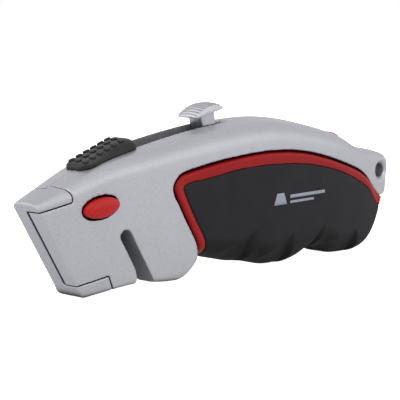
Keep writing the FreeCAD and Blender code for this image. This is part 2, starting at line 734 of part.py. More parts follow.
def make_liners(hull):
    """Dark plastic U-shaped linings of the cord notch."""
    near, far = LINER_Y
    outer = notch_form(NOTCH_HALF + 0.85, -far, far, 0.85)
    inner = notch_form(NOTCH_HALF, -12, 12)
    belly = block(-80, 0, -20, 20, 1.0, 40)
    ring = outer.cut(inner).common(belly).common(liner_zone(hull, 0.0))
    left = ring.common(block(-80, 0, -far, -near, -10, 60))
    right = ring.common(block(-80, 0, near, far, -10, 60))
    return largest(left), largest(right)


def make_covers():
    form = make_grip_form()
    outline = prism([
        spline([(-22.4, 5.0), (-22.2, 8.2), (-23.5, 12.5)]),
        line((-23.5, 12.5), (-40.0, 44.0)),
        line((-40.0, 44.0), (82.3, 44.0)),
        line((82.3, 44.0), (82.3, 17.0)),
        line((82.3, 17.0), (81.0, 12.5)),
        line((81.0, 12.5), (79.5, -8.0)),
        line((79.5, -8.0), (-22.4, -8.0)),
        line((-22.4, -8.0), (-22.4, 5.0)),
    ], -20, 20)
    form = form.common(outline)
    tub_left = tub_form(0.0)
    tub_right = tub_form(0.3)
    inner = grip_region(BEZEL_IN, -20, 20)
    outer = grip_region(BEZEL_OUT, -20, 20)
    left_half = block(-100, 100, -20, 0, -10, 70)
    right_half = block(-100, 100, 0.25, 20, -10, 70)
    covers = []
    for half, tub in ((left_half, tub_left), (right_half, tub_right)):
        side = form.common(half).cut(tub)
        grip = side.common(inner)
        bezel = side.common(outer).cut(inner)
        covers.append(largest(grip))
        covers.append(largest(bezel))
    return covers


def save(name, shape):
    shape = shape.copy()
    shape.translate(vec(0, 0, LIFT))
    shape.exportStep("parts/" + name + ".step")
    box = shape.BoundBox
    print("%-22s solids %d valid %s x %.1f..%.1f y %.1f..%.1f z %.1f..%.1f vol %.0f" % (
        name, len(shape.Solids), shape.isValid(), box.XMin, box.XMax, box.YMin, box.YMax,
        box.ZMin, box.ZMax, shape.Volume))


def main():
    hull = make_hull()
    left, right = make_shells(hull)
    save("shell_left", largest(left))
    save("shell_right", largest(right))
    save("nose_gate", make_gate(hull))
    save("gate_rails", make_rails())
    save("gate_stop_pin", make_stop_pin())
    save("nose_lock_button", make_button())
    save("button_spring", make_button_spring())
    save("lock_plate", make_lock_plate())
    save("blade", make_blade())
    save("blade_carriage", make_carriage())
    save("thumb_slider", make_slider())
    save("slider_spring", make_slider_spring())
    save("detent_rack", make_rack(hull))
    liner_left, liner_right = make_liners(hull)
    save("cutter_guide_left", liner_left)
    save("cutter_guide_right", liner_right)
    save("thumb_pad", make_pad(hull))
    grip_left, bezel_left, grip_right, bezel_right = make_covers()
    save("grip_left", grip_left)
    save("bezel_left", bezel_left)
    save("grip_right", grip_right)
    save("bezel_right", bezel_right)
    save("magazine_tray", make_tray())
    save("spare_blades", make_spare_blades())
    save("magazine_follower", make_follower())
    save("follower_spring", make_follower_spring())
    save("magazine_latch", make_latch())
    save("latch_spring", make_latch_spring())
    save("body_screws", make_screws())


main()
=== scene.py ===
import json
import math

import bmesh
import bpy
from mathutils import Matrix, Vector
from mathutils.bvhtree import BVHTree


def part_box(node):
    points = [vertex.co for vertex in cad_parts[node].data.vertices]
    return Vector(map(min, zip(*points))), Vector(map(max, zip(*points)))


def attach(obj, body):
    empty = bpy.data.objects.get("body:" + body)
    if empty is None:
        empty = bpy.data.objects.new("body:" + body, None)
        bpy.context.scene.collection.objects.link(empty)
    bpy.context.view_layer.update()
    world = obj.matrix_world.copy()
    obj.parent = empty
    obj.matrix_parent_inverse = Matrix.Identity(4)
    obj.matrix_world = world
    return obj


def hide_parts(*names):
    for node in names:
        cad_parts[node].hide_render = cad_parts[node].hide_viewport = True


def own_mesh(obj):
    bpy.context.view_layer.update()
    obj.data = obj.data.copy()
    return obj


MM = 0.001

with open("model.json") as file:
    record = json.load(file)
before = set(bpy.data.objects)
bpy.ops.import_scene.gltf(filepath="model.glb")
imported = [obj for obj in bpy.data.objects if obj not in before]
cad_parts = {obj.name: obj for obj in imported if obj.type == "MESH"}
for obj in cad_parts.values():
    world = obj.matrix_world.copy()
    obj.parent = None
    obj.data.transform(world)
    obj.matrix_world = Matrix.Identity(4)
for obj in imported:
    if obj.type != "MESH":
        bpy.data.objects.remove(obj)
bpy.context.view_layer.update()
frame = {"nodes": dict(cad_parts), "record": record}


# ------------------------------------------------------------ node shorthands

def new_material(name):
    mat = bpy.data.materials.new(name)
    mat.use_nodes = True
    nodes = mat.node_tree.nodes
    nodes.clear()
    out = nodes.new("ShaderNodeOutputMaterial")
    bsdf = nodes.new("ShaderNodeBsdfPrincipled")
    mat.node_tree.links.new(bsdf.outputs["BSDF"], out.inputs["Surface"])
    return mat, bsdf


def link(mat, a, b):
    mat.node_tree.links.new(a, b)


def object_coords(mat, scale=(1.0, 1.0, 1.0)):
    """Coordinates in millimetres, stretched by scale."""
    nodes = mat.node_tree.nodes
    coords = nodes.new("ShaderNodeTexCoord")
    mapping = nodes.new("ShaderNodeMapping")
    mapping.inputs["Scale"].default_value = [1000.0 * s for s in scale]
    link(mat, coords.outputs["Object"], mapping.inputs["Vector"])
    return mapping.outputs["Vector"]


def noise_node(mat, vector, scale, detail=2.0, rough=0.5):
    node = mat.node_tree.nodes.new("ShaderNodeTexNoise")
    node.inputs["Scale"].default_value = scale
    node.inputs["Detail"].default_value = detail
    node.inputs["Roughness"].default_value = rough
    link(mat, vector, node.inputs["Vector"])
    return node.outputs["Fac"]


def ramp_node(mat, value, stops):
    node = mat.node_tree.nodes.new("ShaderNodeValToRGB")
    ramp = node.color_ramp
    while len(ramp.elements) < len(stops):
        ramp.elements.new(0.5)
    for element, (pos, colour) in zip(ramp.elements, stops):
        element.position = pos
        element.color = (*colour, 1.0)
    link(mat, value, node.inputs["Fac"])
    return node.outputs["Color"]


def range_node(mat, value, lo, hi, to_lo, to_hi):
    node = mat.node_tree.nodes.new("ShaderNodeMapRange")
    for key, number in (("From Min", lo), ("From Max", hi), ("To Min", to_lo), ("To Max", to_hi)):
        node.inputs[key].default_value = number
    link(mat, value, node.inputs["Value"])
    return node.outputs["Result"]


def math_node(mat, operation, a, b):
    node = mat.node_tree.nodes.new("ShaderNodeMath")
    node.operation = operation
    for socket, item in zip(node.inputs, (a, b)):
        if isinstance(item, (int, float)):
            socket.default_value = item
        else:
            link(mat, item, socket)
    return node.outputs["Value"]


def bump_node(mat, height, strength, distance):
    node = mat.node_tree.nodes.new("ShaderNodeBump")
    node.inputs["Strength"].default_value = strength
    node.inputs["Distance"].default_value = distance
    link(mat, height, node.inputs["Height"])
    return node.outputs["Normal"]


# ------------------------------------------------------------------ materials

SILVER_METALLIC = 0.70
SILVER_SHADED_GAP = 1.6                  # gaps up to about this wide get dark painted shade, mm
SILVER_SHADED_HOLLOW = 5.0               # and wider hollows up to this get lighter painted shade, mm
FINE_SHARE = 0.87                 # share of the fine grain in the mottling, the rest is broad
OCCLUSION_SAMPLES = 8


def occlusion_shade(mat, reach):
    """Painted shade: 1 on open surfaces, falling to 0 in narrow gaps, where less light reaches."""
    node = mat.node_tree.nodes.new("ShaderNodeAmbientOcclusion")
    node.samples = OCCLUSION_SAMPLES
    node.inputs["Distance"].default_value = reach * MM
    return range_node(mat, node.outputs["AO"], 0.30, 0.75, 0.0, 1.0)


def multiply_colour(mat, colour, factor):
    node = mat.node_tree.nodes.new("ShaderNodeVectorMath")
    node.operation = "SCALE"
    link(mat, colour, node.inputs[0])
    link(mat, factor, node.inputs["Scale"])
    return node.outputs["Vector"]


def cast_silver(name, base):
    """Satin metallic finish over a fine cast grain, with painted shade in its gaps and hollows and a
    few pores.
    """
    mat, bsdf = new_material(name)
    coords = object_coords(mat)
    fine = noise_node(mat, coords, 3.2, 2.0, 0.6)
    broad = noise_node(mat, coords, 0.09, 2.0)
    pores = range_node(mat, noise_node(mat, coords, 1.3, 1.0), 0.73, 0.80, 1.0, 0.55)
    lo = tuple(c * 0.84 for c in base)
    hi = tuple(min(1.0, c * 1.12) for c in base)
    mixed = math_node(mat, "ADD", math_node(mat, "MULTIPLY", fine, FINE_SHARE),
                      math_node(mat, "MULTIPLY", broad, 1.0 - FINE_SHARE))
    # Painted shade in gaps and hollows from occlusion, multiplied by the real pores of the cast.
    silver_gap_shade = range_node(mat, occlusion_shade(mat, SILVER_SHADED_GAP), 0.0, 1.0, 0.03, 1.0)
    silver_hollow_shade = range_node(mat, occlusion_shade(mat, SILVER_SHADED_HOLLOW), 0.0, 1.0, 0.22, 1.0)
    shade = math_node(mat, "MULTIPLY", pores, math_node(mat, "MULTIPLY", silver_gap_shade, silver_hollow_shade))
    colour = ramp_node(mat, mixed, [(0.30, lo), (0.70, hi)])
    link(mat, multiply_colour(mat, colour, shade), bsdf.inputs["Base Color"])
    rough = range_node(mat, fine, 0.25, 0.75, 0.38, 0.52)
    link(mat, rough, bsdf.inputs["Roughness"])
    bsdf.inputs["Metallic"].default_value = SILVER_METALLIC
    link(mat, bump_node(mat, fine, 0.22, 0.06 * MM), bsdf.inputs["Normal"])
    return mat


def plastic(name, dark, light, rough, grain_scale, grain_strength, spec=0.5, top_light=1.0, shade_gap_width=0.0,
            under_shade=1.0):
    """Moulded plastic or rubber with a fine grain.

    Two factors multiply the colour of faces that look up and down, painting light on the tops and
    shade on the undersides, and gaps narrower than the given width, in mm, get painted shade.
    """
    mat, bsdf = new_material(name)
    coords = object_coords(mat)
    grain = noise_node(mat, coords, grain_scale, 3.0, 0.6)
    cloud = noise_node(mat, coords, 0.12, 2.0)
    colour = ramp_node(mat, cloud, [(0.3, dark), (0.7, light)])
    normal = mat.node_tree.nodes.new("ShaderNodeTexCoord").outputs["Normal"]
    split = mat.node_tree.nodes.new("ShaderNodeSeparateXYZ")
    link(mat, normal, split.inputs["Vector"])
    upward = split.outputs["Z"]
    # Painted light on faces that look up, painted shade on faces that look down and in narrow gaps.
    if top_light != 1.0:
        colour = multiply_colour(mat, colour, range_node(mat, upward, 0.60, 0.92, 1.0, top_light))
    if under_shade != 1.0:
        colour = multiply_colour(mat, colour, range_node(mat, upward, -0.6, 0.0, under_shade, 1.0))
    if shade_gap_width:
        shade = range_node(mat, occlusion_shade(mat, shade_gap_width), 0.2, 1.0, 0.12, 1.0)
        colour = multiply_colour(mat, colour, shade)
    link(mat, colour, bsdf.inputs["Base Color"])
    link(mat, range_node(mat, grain, 0.3, 0.7, rough - 0.05, rough + 0.06), bsdf.inputs["Roughness"])
    bsdf.inputs["Specular IOR Level"].default_value = spec
    link(mat, bump_node(mat, grain, grain_strength, 0.05 * MM), bsdf.inputs["Normal"])
    return mat


def metal(name, base, rough, stretch, scale, strength, tone=1.0):
    """Drawn, ground or rolled metal with a directional grain; tone scales its variation."""
    mat, bsdf = new_material(name)
    coords = object_coords(mat, stretch)
    grain = noise_node(mat, coords, scale, 3.0, 0.65)
    lo = tuple(c * (1.0 - 0.18 * tone) for c in base)
    hi = tuple(min(1.0, c * (1.0 + 0.10 * tone)) for c in base)
    link(mat, ramp_node(mat, grain, [(0.3, lo), (0.7, hi)]), bsdf.inputs["Base Color"])
    link(mat, range_node(mat, grain, 0.3, 0.7, rough - 0.06 * tone, rough + 0.08 * tone),
         bsdf.inputs["Roughness"])
    bsdf.inputs["Metallic"].default_value = 1.0
    link(mat, bump_node(mat, grain, strength, 0.04 * MM), bsdf.inputs["Normal"])
    return mat


MATERIALS = {
    "silver": cast_silver("silver_cast", (0.50, 0.50, 0.535)),
    "silver_gate": cast_silver("silver_gate_cast", (0.48, 0.48, 0.515)),
    "steel": metal("steel_drawn", (0.52, 0.53, 0.55), 0.3, (0.15, 1, 1), 4.0, 0.15),
    "spring_steel": metal("steel_spring", (0.45, 0.45, 0.47), 0.25, (1, 1, 1), 3.0, 0.1),
    "blade_steel": metal("steel_ground", (0.55, 0.56, 0.59), 0.26, (0.05, 1, 1), 6.0, 0.2),
    "screw_steel": metal("steel_screw", (0.32, 0.32, 0.34), 0.35, (1, 1, 1), 3.0, 0.1),
    "chrome": metal("chrome_cast", (0.46, 0.47, 0.50), 0.27, (1, 1, 1), 0.35, 0.01, 0.25),
    # painted shade in the narrow gap round the button
    "red_gloss": plastic("red_button_gloss", (0.41, 0.005, 0.006), (0.44, 0.006, 0.007),
                         0.22, 0.5, 0.004, spec=0.30, shade_gap_width=1.2),
    # painted shade in the recess along the frame's rim
    "red_frame": plastic("red_frame_satin", (0.290, 0.007, 0.008), (0.320, 0.008, 0.009),
                         0.36, 0.8, 0.01, spec=0.14, shade_gap_width=2.6),
    "dark_plastic": plastic("dark_moulding", (0.140, 0.143, 0.156), (0.178, 0.181, 0.196),
                            0.5, 2.4, 0.15),
    # painted light on the pad's upward faces and painted shade round its studs
    "black_rubber": plastic("pad_rubber", (0.010, 0.010, 0.010), (0.014, 0.014, 0.014),
                            0.50, 2.6, 0.20, spec=0.35, top_light=4.2, shade_gap_width=1.4),
    "print": plastic("print_ink", (0.25, 0.27, 0.33), (0.30, 0.32, 0.38), 0.5, 3.0, 0.05),
    # painted shade on the grip's faces that look down
    "grip_rubber": plastic("grip_soft_touch", (0.0085, 0.008, 0.010), (0.012, 0.0115, 0.0135),
                           0.55, 3.0, 0.25, spec=0.20, under_shade=0.25),
}

SLOT_OF = {row["node"]: row["material_slot"] for row in frame["record"]["subparts"]}
for node_name, slot_name in SLOT_OF.items():
    node = frame["nodes"][node_name]
    node.data.materials.clear()
    node.data.materials.append(MATERIALS[slot_name])


# -------------------------------------------------------------- piece helpers

def table(stations, x):
    """Value at x of a table of (x, value) pairs, linear between them."""
    if x <= stations[0][0]:
        return stations[0][1]
    for (xa, va), (xb, vb) in zip(stations, stations[1:]):
        if x <= xb:
            return va + (vb - va) * (x - xa) / (xb - xa)
    return stations[-1][1]


def ease(t):
    t = max(0.0, min(1.0, t))
    return t * t * (3.0 - 2.0 * t)


def body_of_node(node_name):
    for body, members in frame["record"]["behaviour"]["bodies"].items():
        if node_name in members:
            return body
    return None


def add_object(name, mesh):
    piece = bpy.data.objects.new(name, mesh)
    bpy.context.scene.collection.objects.link(piece)
    return piece


def mesh_from(name, verts, faces):
    mesh = bpy.data.meshes.new(name)
    mesh.from_pydata([tuple(v) for v in verts], [], faces)
    mesh.update()
    return mesh


def shade_smooth(mesh):
    mesh.polygons.foreach_set("use_smooth", [True] * len(mesh.polygons))


def baked(piece):
    """Apply the modifiers of a piece to its mesh."""
    bpy.context.view_layer.update()
    graph = bpy.context.evaluated_depsgraph_get()
    mesh = bpy.data.meshes.new_from_object(piece.evaluated_get(graph))
    piece.modifiers.clear()
    old = piece.data
    piece.data = mesh
    bpy.data.meshes.remove(old)
    return mesh


def stand_for(piece, node_name):
    """Let a piece ride and be coloured in place of a CAD node, which is hidden."""
    slot_name = SLOT_OF[node_name]
    piece.data.materials.clear()
    piece.data.materials.append(MATERIALS[slot_name])
    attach(piece, body_of_node(node_name))
    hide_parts(node_name)


def face_outwards(mesh):
    bm = bmesh.new()
    bm.from_mesh(mesh)
    bmesh.ops.recalc_face_normals(bm, faces=bm.faces)
    bm.to_mesh(mesh)
    bm.free()


WELD = 2e-6                       # CAD corners nearer than this are one point, metres
SMOOTHING = 0.5


def smooth_modifier(piece, iterations):
    smooth = piece.modifiers.new("smooth", "SMOOTH")
    smooth.factor = SMOOTHING
    smooth.iterations = iterations


def rounded_skin(node_name, name, voxel, iterations):
    """Copy of a CAD node with softly rounded edges, evenly meshed for sculpting."""
    piece = add_object(name, frame["nodes"][node_name].data.copy())
    bm = bmesh.new()
    bm.from_mesh(piece.data)
    bmesh.ops.remove_doubles(bm, verts=bm.verts, dist=WELD)
    bm.to_mesh(piece.data)
    bm.free()
    remesh = piece.modifiers.new("remesh", "REMESH")
    remesh.mode = "VOXEL"
    remesh.voxel_size = voxel * MM
    remesh.use_smooth_shade = True
    smooth_modifier(piece, iterations)
    shade_smooth(baked(piece))
    return piece


def push(piece, offset):
    """Move each vertex by offset(position in mm, normal), given in mm."""
    mesh = piece.data
    moves = []
    for vertex, normal in zip(mesh.vertices, mesh.vertex_normals):
        moves.append(offset(vertex.co / MM, normal.vector))
    for vertex, move in zip(mesh.vertices, moves):
        vertex.co += move * MM
    mesh.update()


# --------------------------------------------------------------- silver body

# Cast pieces: node, mesh size in mm and smoothing passes.
CAST = [("shell_left", 0.32, 4), ("shell_right", 0.32, 4), ("nose_gate", 0.28, 10)]


def make_silver():
    for node_name, voxel, iterations in CAST:
        piece = rounded_skin(node_name, node_name + "_cast", voxel, iterations)
        stand_for(piece, node_name)


# ---------------------------------------------------------------------- grips

# Finger scoops on each side, row x and z in mm: the tip, the front end of the line where
# the surface starts to turn in, and the lower end of the crease where it comes back out.
SCOOPS = [
    ((4.1, 14.6), (-10.3, 9.2), (2.4, 6.0)),
    ((22.5, 11.6), (8.4, 4.1), (22.0, 1.8)),
    ((39.8, 13.1), (31.2, 5.0), (37.6, 4.6)),
    ((60.1, 8.6), (40.2, 5.4), (60.3, 1.2)),
]
SCOOP_SLOPE = 0.62                # how fast the surface turns in below that line
SCOOP_SOFT = 0.6                  # how softly it starts to turn, mm
SCOOP_MAX = 2.1                   # depth that it never passes, mm
CREASE_STEP = 1.5                 # it comes back over this distance behind the crease, mm
CREASE_LEAD = 0.3                 # and starts to this far ahead of it, mm
SCOOP_FADE = (0.75, 0.6)          # share of the line where it starts to fade, and over which
SCOOP_FROM = 3.0                  # scoops start this far from the middle plane, mm
SCOOP_BLEND = 4.0                 # and reach their full depth over this distance, mm


def scoop_depth(x, z):
    """How far the grip's face lies in from a plain one at row x, z, all in mm."""
    point = Vector((x, z))
    total = 0.0
    for tip, front, low in SCOOPS:
        tip = Vector(tip)
        edge = Vector(front) - tip
        length = edge.length
        edge /= length
        below = Vector((-edge.y, edge.x)) if edge.x < 0.0 else Vector((edge.y, -edge.x))
        along = (point - tip).dot(edge) / length
        height = (point - tip).dot(below)
        if height <= 0.0:
            continue
        crease = (Vector(low) - tip).normalized()
        behind = (point - tip).dot(Vector((-crease.y, crease.x)))
        if behind > CREASE_STEP:
            continue
        depth = SCOOP_SLOPE * (math.hypot(height, SCOOP_SOFT) - SCOOP_SOFT)
        depth = SCOOP_MAX * (1.0 - math.exp(-depth / SCOOP_MAX))
        back = 1.0 - ease((behind + CREASE_LEAD) / (CREASE_STEP + CREASE_LEAD))
        ahead = 1.0 - ease((along - SCOOP_FADE[0]) / SCOOP_FADE[1])
        total = max(total, depth * back * ahead)
    return total


def make_grips():
    for side in ("left", "right"):
        node_name = "grip_" + side
        piece = rounded_skin(node_name, node_name + "_soft", 0.42, 3)
        sign = -1.0 if side == "left" else 1.0

        def offset(p, n, sign=sign):
            outside = ease((p.y * sign - SCOOP_FROM) / SCOOP_BLEND)
            if outside <= 0.0 or n.y * sign < -0.2:
                return Vector((0.0, 0.0, 0.0))
            depth = scoop_depth(p.x, p.z) * outside
            return Vector((0.0, -sign * depth, 0.0))

        push(piece, offset)
        stand_for(piece, node_name)


# Outer edge of the red frame on each side, row x and z in mm.
FRAME_EDGE = [
    (-22.6, 6.95), (-22.3, 11.35), (-25.9, 18.15), (-31.0, 26.75), (-32.6, 31.25),
    (-30.6, 34.55), (-26.5, 36.05), (-8.0, 38.55), (11.3, 39.55), (32.2, 37.65),
    (56.7, 31.15), (68.7, 25.95), (75.6, 19.75), (82.5, 16.55),
]
FRAME_WIDTH = 4.4                 # width of the band between its two edges, mm


def smooth_path(points, parts):
    """Catmull-Rom curve through points in a plane."""
    path = []
    last = len(points) - 1
    for i in range(last):
        p0, p1, p2, p3 = (Vector(points[max(0, min(last, k))]) for k in range(i - 1, i + 3))
        for j in range(parts):
            t = j / parts
            path.append(0.5 * (2 * p1 + (p2 - p0) * t + (2 * p0 - 5 * p1 + 4 * p2 - p3) * t * t
                               + (3 * p1 - p0 - 3 * p2 + p3) * t ** 3))
    path.append(Vector(points[last]))
    return path


def distance_to_path(point, path):
    best = math.inf
    for a, b in zip(path, path[1:]):
        span = b - a
        t = max(0.0, min(1.0, (point - a).dot(span) / span.length_squared))
        best = min(best, (point - a - span * t).length_squared)
    return math.sqrt(best)


FRAME_CREST = 0.36                # where across the width its ridge lies
FRAME_PROUD = 0.40                # how far the ridge stands out of the plain band, mm
RIM_DROP = 1.95                   # how far the outer rim lies under the ridge, mm
INNER_DROP = 0.50
FRAME_FROM = 7.0                  # the band is shaped this far from the middle plane, mm
FRAME_BLEND = 2.5                 # and fully so over this distance, mm


def bead_height(d):
    """Profile of the red frame across its width, from the outer edge inwards."""
    t = d / FRAME_WIDTH
    rim = 1.0 - ease(t / FRAME_CREST)
    inner = ease((t - FRAME_CREST) / 0.58)
    return FRAME_PROUD - RIM_DROP * rim ** 1.3 - INNER_DROP * inner


def make_bezels():
    path = smooth_path(FRAME_EDGE, 5)
    for side in ("left", "right"):
        node_name = "bezel_" + side
        piece = rounded_skin(node_name, node_name + "_bead", 0.28, 5)
        sign = -1.0 if side == "left" else 1.0

        def offset(p, n, sign=sign):
            outside = ease((p.y * sign - FRAME_FROM) / FRAME_BLEND) * ease((n.y * sign + 0.3) / 0.6)
            if outside <= 0.0:
                return Vector((0.0, 0.0, 0.0))
            d = distance_to_path(Vector((p.x, p.z)), path)
            return Vector((0.0, sign * bead_height(d) * outside, 0.0))

        push(piece, offset)
        stand_for(piece, node_name)


# ------------------------------------------------------------------- nose button

TILT = math.radians(12.0)
BLADE_ORIGIN = (-74.7, 16.4)      # row x, z of the blade frame, mm


def blade_frame(s, y, n):
    """Row position in metres of a point given along and square to the blade, in mm."""
    return Vector((BLADE_ORIGIN[0] + s * math.cos(TILT) - n * math.sin(TILT), y,
                   BLADE_ORIGIN[1] + s * math.sin(TILT) + n * math.cos(TILT))) * MM


# The button's lens, in the blade frame and mm.
BUTTON_CENTRE = (16.05, 8.15)
BUTTON_AXES = (6.05, 2.95)
BUTTON_TURN = math.radians(-4.0)
BUTTON_BASE_Y = -9.08
BUTTON_FLARE = math.tan(math.radians(8.0))
BUTTON_RADII = (0.12, 0.24, 0.36, 0.48, 0.58, 0.68, 0.76, 0.83, 0.88, 0.92, 0.95, 0.975, 0.99, 1.0)
BUTTON_WALL = [(0.85, 1.012), (-0.3, 1.03), (-3.2, 1.03)]   # its side: height, relative radius
BUTTON_AROUND = 96
BUTTON_EDGE = 1.05                # height of its edge over the shell
BUTTON_DOME = 1.05                # and of its middle over the edge


def button_profile(r):
    """Height of the lens over the shell at relative radius r."""
    return BUTTON_EDGE + BUTTON_DOME * (1.0 - r ** 2.6) ** 0.75


def make_button():
    around = BUTTON_AROUND
    verts = []
    faces = []

    def ring(r, height):
        row = []
        for i in range(around):
            a = 2.0 * math.pi * i / around
            du = BUTTON_AXES[0] * r * math.cos(a)
            dv = BUTTON_AXES[1] * r * math.sin(a)
            s = BUTTON_CENTRE[0] + du * math.cos(BUTTON_TURN) - dv * math.sin(BUTTON_TURN)
            n = BUTTON_CENTRE[1] + du * math.sin(BUTTON_TURN) + dv * math.cos(BUTTON_TURN)
            y = BUTTON_BASE_Y - BUTTON_FLARE * du - height
            row.append(len(verts))
            verts.append(blade_frame(s, y, n))
        return row

    verts.append(blade_frame(BUTTON_CENTRE[0], BUTTON_BASE_Y - button_profile(0.0),
                             BUTTON_CENTRE[1]))
    rings = [ring(r, button_profile(r)) for r in BUTTON_RADII]
    rings.extend(ring(r, height) for height, r in BUTTON_WALL)
    for i in range(around):
        faces.append((0, rings[0][(i + 1) % around], rings[0][i]))
    for inner, outer in zip(rings, rings[1:]):
        for i in range(around):
            j = (i + 1) % around
            faces.append((inner[i], inner[j], outer[j], outer[i]))
    faces.append(tuple(reversed(rings[-1])))
    mesh = mesh_from("nose_button_lens", verts, faces)
    face_outwards(mesh)
    shade_smooth(mesh)
    mesh.polygons[len(mesh.polygons) - 1].use_smooth = False
    piece = add_object("nose_button_lens", mesh)
    stand_for(piece, "nose_lock_button")


# ------------------------------------------------------------------ thumb slider

# The ribbed cap and its stem, in the blade frame and mm.
CAP_S = (65.9, 78.4)
CAP_HALF = 4.3
CAP_PEAK = (73.3, 24.1)           # highest point of the cap, s and n
CAP_FALL_FRONT = 0.028            # how fast its top falls away, per mm
CAP_FALL_REAR = 0.054
CAP_ROUND = 0.45                  # radius of its two ends
CAP_CROWN = 0.60                  # the cap's sides lie this far under its middle
CAP_COLUMNS = (-1.0, -0.985, -0.95, -0.88, -0.75, -0.6, -0.4, -0.2, 0.0,
               0.2, 0.4, 0.6, 0.75, 0.88, 0.95, 0.985, 1.0)
CAP_LOW = 21.45                   # underside of the cap
RIBS = 8
RIB_HEIGHT = 0.42
RIB_STEPS = 14                    # sections in one rib
RIB_MARGIN = (0.7, 0.5)           # plain strip ahead of the ribs and behind them

# Columns under the cap: s0, s1, half width, n0, n1 and the width of the cut edges. They are
# the stem in the spine slot, the foot on the spring, and the faces raised on the stem's sides.
STEM = [
    (69.4, 75.5, 3.05, 16.85, 22.0, 0.35),
    (69.25, 75.35, 1.6, 11.8, 16.7, 0.15),
    (70.3, 74.7, 3.13, 17.0, 20.7, 0.06),
]


def cap_top(s):
    past = s - CAP_PEAK[0]
    fall = CAP_FALL_FRONT if past < 0.0 else CAP_FALL_REAR
    return CAP_PEAK[1] - fall * past ** 2


def rib(s):
    """Ribs with a rounded crest and a sharper valley between them."""
    t = (s - CAP_S[0] - RIB_MARGIN[0]) / (CAP_S[1] - CAP_S[0] - sum(RIB_MARGIN)) * RIBS
    if t < 0.0 or t > RIBS:
        return 0.0
    return RIB_HEIGHT * abs(math.sin(math.pi * t)) ** 0.75


def cap_section(s, verts):
    """Closed outline across the cap at s: flat near and far faces, crowned ribbed top."""
    edge = min(s - CAP_S[0], CAP_S[1] - s)
    nose = math.sqrt(max(0.0, 1.0 - (1.0 - min(edge, CAP_ROUND) / CAP_ROUND) ** 2))
    middle = CAP_LOW + 0.35
    ring = []
    for t in CAP_COLUMNS:
        rounding = 0.14 if abs(t) == 1.0 else 0.04 if abs(t) > 0.98 else 0.0
        top = max(cap_top(s) - CAP_CROWN * t * t + rib(s), middle + 0.15) - rounding
        ring.append(len(verts))
        verts.append(blade_frame(s, CAP_HALF * t, middle + (top - middle) * nose))
    for t in (1.0, 0.96, 0.0, -0.96, -1.0):
        low = 0.15 if abs(t) == 1.0 else 0.0
        ring.append(len(verts))
        verts.append(blade_frame(s, CAP_HALF * t, middle + (CAP_LOW + low - middle) * nose))
    return ring


def column(verts, faces, s0, s1, half, n0, n1, edge):
    """Block with cut upright edges."""
    base = len(verts)
    outline = [(s0 + edge, -half), (s1 - edge, -half), (s1, -half + edge), (s1, half - edge),
               (s1 - edge, half), (s0 + edge, half), (s0, half - edge), (s0, -half + edge)]
    sides = len(outline)
    for n in (n0, n1):
        for s, y in outline:
            verts.append(blade_frame(s, y, n))
    for k in range(sides):
        m = (k + 1) % sides
        faces.append((base + k, base + m, base + sides + m, base + sides + k))
    faces.append(tuple(base + k for k in reversed(range(sides))))
    faces.append(tuple(base + sides + k for k in range(sides)))


def make_slider():
    steps = RIBS * RIB_STEPS
    verts = []
    faces = []
    section = []
    for i in range(steps + 1):
        section.append(cap_section(CAP_S[0] + (CAP_S[1] - CAP_S[0]) * i / steps, verts))
    count = len(section[0])
    for a, b in zip(section, section[1:]):
        for k in range(count):
            m = (k + 1) % count
            faces.append((a[k], a[m], b[m], b[k]))
    faces.append(tuple(section[0]))
    faces.append(tuple(reversed(section[-1])))
    for row in STEM:
        column(verts, faces, *row)
    mesh = mesh_from("thumb_slider_cap", verts, faces)
    face_outwards(mesh)
    shade_smooth(mesh)
    mesh.set_sharp_from_angle(angle=math.radians(42.0))
    piece = add_object("thumb_slider_cap", mesh)
    stand_for(piece, "thumb_slider")


# --------------------------------------------------------------------- thumb pad

PAD_ROWS = 6
PAD_COLUMNS = (-3.0, 0.0, 3.0)
FIRST_STUD = -61.2                # row x of the first row of studs, mm
STUDS_LENGTH = 14.5               # from the first row to the last, mm

# Height of the pad's face along the knife, row x and z in mm.
PAD_TOP = [(-63.7, 39.3), (-62.6, 40.45), (-60.5, 41.30), (-54.0, 43.80), (-47.5, 46.25),
           (-44.6, 46.95), (-42.6, 46.65), (-41.3, 45.7)]
PAD_HALF = 5.15
PAD_FRONT = -62.8                 # its sides are filled out between these, row x in mm
PAD_REAR = -41.6
PAD_DROP = 2.2                    # how far the face falls away at its long edges

# Section of a stud: radius, and height over the pad's face.
STUD = [(1.10, -0.50), (1.08, 0.22), (1.02, 0.41), (0.88, 0.52), (0.62, 0.58), (0.30, 0.60)]


def pad_top(x, y):
    """Height of the crowned face at row x, y, in mm."""
    drop = PAD_DROP * (0.45 + 0.55 * ease((x + 62.0) / 12.0))
    return table(PAD_TOP, x) - drop * (abs(y) / 5.0) ** 4


def make_pad():
    piece = rounded_skin("thumb_pad", "thumb_pad_rubber", 0.20, 3)

    def offset(p, n):
        """Fill the sides out to the full width, then bring the face to its profile."""
        window = ease((p.x - PAD_FRONT) / 3.0) * ease((PAD_REAR - p.x) / 2.5)
        wider = 0.75 * max(0.0, PAD_HALF - abs(p.y)) * ease((abs(n.y) - 0.25) / 0.4) * window
        y = p.y + math.copysign(wider, p.y)
        top = pad_top(p.x, y)
        lift = min(0.0, top - p.z)
        if n.z > 0.5 and p.z > top - 1.3 and abs(p.y) < 4.3:
            lift = top - p.z
        return Vector((0.0, y - p.y, lift))

    push(piece, offset)
    smooth_modifier(piece, 5)
    shade_smooth(baked(piece))
    bm = bmesh.new()
    bm.from_mesh(piece.data)
    for row in range(PAD_ROWS):
        x = FIRST_STUD + STUDS_LENGTH * row / (PAD_ROWS - 1.0)
        for y in PAD_COLUMNS:
            along = Vector((2.0, 0.0, pad_top(x + 1.0, y) - pad_top(x - 1.0, y))).normalized()
            across = Vector((0.0, 1.0, pad_top(x, y + 0.5) - pad_top(x, y - 0.5))).normalized()
            stud(bm, Vector((x, y, pad_top(x, y))), along, across)
    bm.to_mesh(piece.data)
    bm.free()
    shade_smooth(piece.data)
    stand_for(piece, "thumb_pad")


